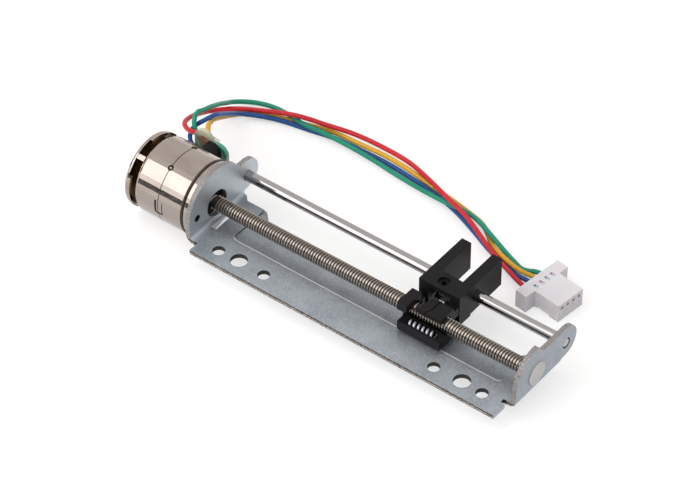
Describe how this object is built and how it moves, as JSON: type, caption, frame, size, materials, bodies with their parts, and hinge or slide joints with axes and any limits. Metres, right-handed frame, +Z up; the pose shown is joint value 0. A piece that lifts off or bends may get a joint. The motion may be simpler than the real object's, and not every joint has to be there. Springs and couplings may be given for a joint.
{
  "type": "linear stepper actuator",
  "caption": "Small round stepper motor on a bent steel bracket, with a lead screw that moves a black fork slider along a guide rod, and a lead with a white plug.",
  "frame": {"origin": "on the underside of the mounting flange, halfway along the line of mounting holes", "axes": "+X along the lead screw from the motor to the far plate, +Z up from the flange, +Y from the mounting flange towards the guide rod"},
  "size_m": [0.0954, 0.0478, 0.0158],
  "materials": {
    "bracket_steel": "zinc-plated, satin",
    "polished_steel": "polished",
    "screw_steel": "bright rolled",
    "nickel_plate": "nickel-plated, bright",
    "yoke_steel": "plain",
    "spring_steel": "bright",
    "black_plastic": "satin moulded",
    "bush_plastic": "natural moulded",
    "copper_wire": "enamelled copper",
    "bearing_brass": "turned",
    "magnet": "sintered ferrite",
    "board_laminate": "bare laminate",
    "tin_plate": "tinned",
    "connector_plastic": "satin moulded",
    "red_insulation": "smooth",
    "green_insulation": "smooth",
    "blue_insulation": "smooth",
    "yellow_insulation": "smooth"
  },
  "bodies": {
    "frame": {"bracket": "bracket_steel", "guide_rod": "polished_steel", "front_flange": "nickel_plate", "front_cup": "nickel_plate", "rear_cup": "nickel_plate", "rear_cap": "nickel_plate", "front_yoke": "yoke_steel", "rear_yoke": "yoke_steel", "thrust_spring": "spring_steel", "terminal_block": "black_plastic", "front_bearing": "black_plastic", "front_bobbin": "black_plastic", "rear_bobbin": "black_plastic", "end_bush": "bush_plastic", "front_winding": "copper_wire", "rear_winding": "copper_wire", "bearing_plate": "bearing_brass", "rear_bearing": "bearing_brass", "terminal_board": "board_laminate", "terminal_pin_1": "tin_plate", "terminal_pin_2": "tin_plate", "terminal_pin_3": "tin_plate", "terminal_pin_4": "tin_plate", "crimp_contact_1": "tin_plate", "crimp_contact_2": "tin_plate", "crimp_contact_3": "tin_plate", "crimp_contact_4": "tin_plate", "connector_housing": "connector_plastic", "wire_red": "red_insulation", "wire_green": "green_insulation", "wire_blue": "blue_insulation", "wire_yellow": "yellow_insulation"},
    "rotor": {"lead_screw": "screw_steel", "rotor_magnet": "magnet", "rotor_hub": "black_plastic"},
    "slider": {"slider_body": "black_plastic", "nut_carrier": "black_plastic", "nut_jaw": "black_plastic", "preload_spring": "spring_steel", "jaw_spring": "spring_steel"}
  },
  "joints": [
    {"name": "screw_spin", "type": "hinge", "parent": "frame", "child": "rotor", "pos_m": [0, 0.00725, 0.00425], "axis": [1, 0, 0], "range_deg": [-6600, 20400]},
    {"name": "slider_travel", "type": "slide", "parent": "frame", "child": "slider", "axis": [1, 0, 0], "range_m": [-0.034, 0.011]}
  ],
  "couplings": [
    {"joint": "screw_spin", "follows": "slider_travel", "rad_per_m": -10472}
  ]
}
